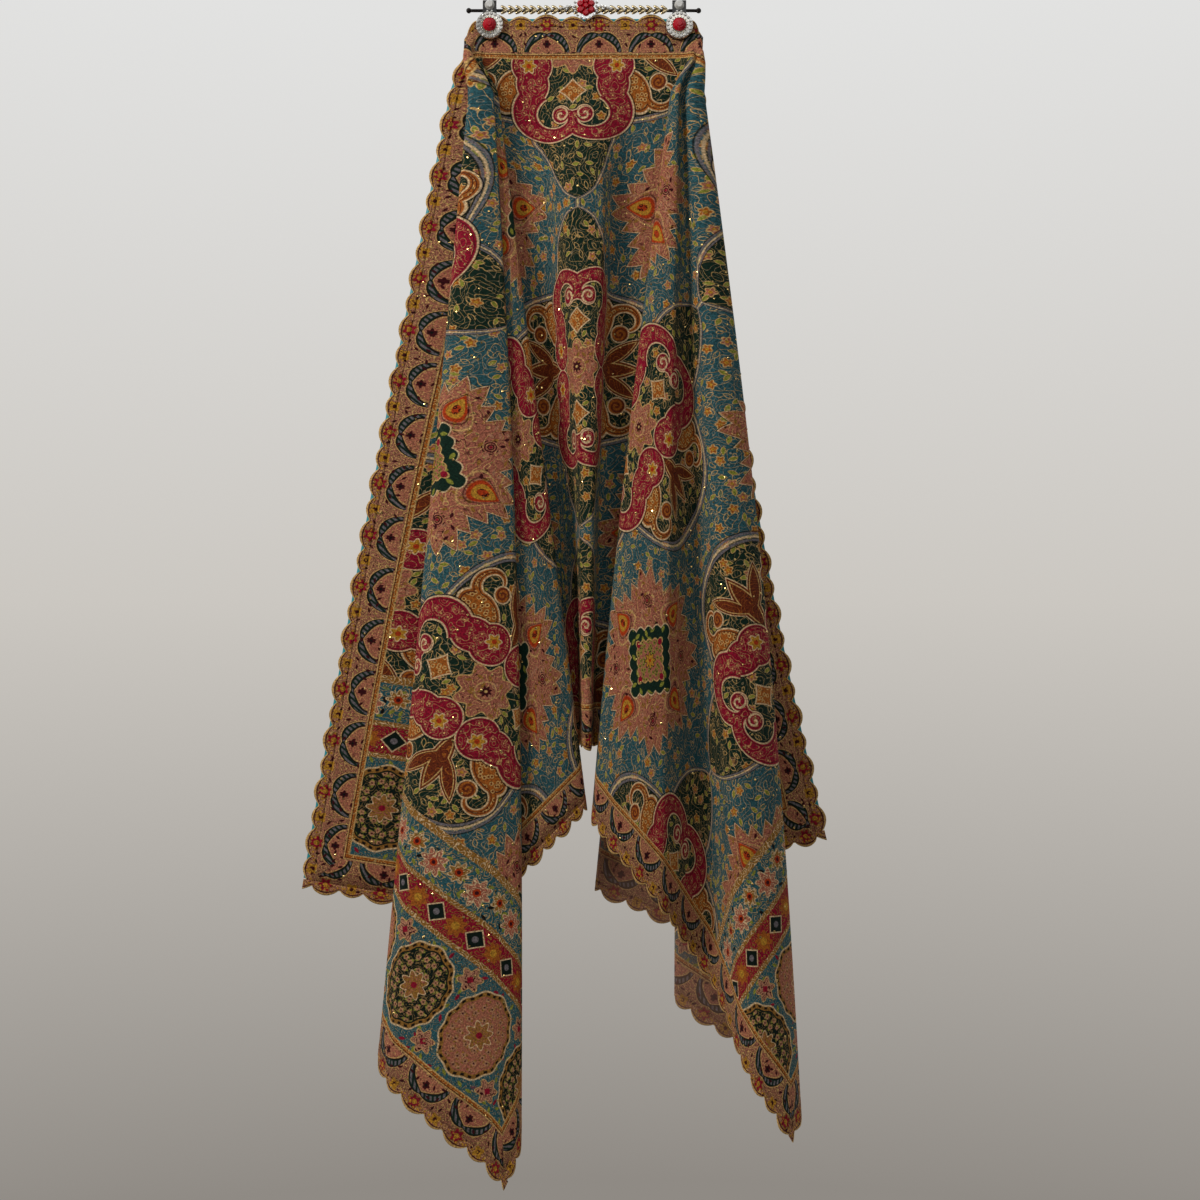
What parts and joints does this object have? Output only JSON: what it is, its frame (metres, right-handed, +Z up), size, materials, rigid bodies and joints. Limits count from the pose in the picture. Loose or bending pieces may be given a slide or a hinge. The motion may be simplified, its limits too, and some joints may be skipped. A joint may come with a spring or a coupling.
{
  "type": "dupatta on clip hanger",
  "caption": "Long paisley dupatta with scalloped edging, hung by one long edge from a clip hanger so that its two ends fall in deep folds.",
  "frame": {"origin": "the inner top of the hanger's hook, where it rests on what holds it", "axes": "+Z up, -Y towards the viewer on the cloth's printed side, +X to the viewer's right"},
  "size_m": [0.6874, 0.1197, 1.6143],
  "materials": {
    "printed_cloth": "matt woven print",
    "embroidered_edge": "matt, gold embroidery",
    "turquoise_facing": "soft satin",
    "dark_wire": "dark, smooth",
    "black_clip": "black, smooth",
    "gilt_rosette": "polished gilt"
  },
  "bodies": {
    "root": {"cloth": "printed_cloth", "edging_top": "embroidered_edge", "edging_bottom": "embroidered_edge", "edging_left": "embroidered_edge", "edging_right": "embroidered_edge", "facing_top": "turquoise_facing", "hanger": "dark_wire", "clip_left": "black_clip", "clip_right": "black_clip", "rosette_left": "gilt_rosette", "rosette_right": "gilt_rosette"}
  },
  "joints": []
}
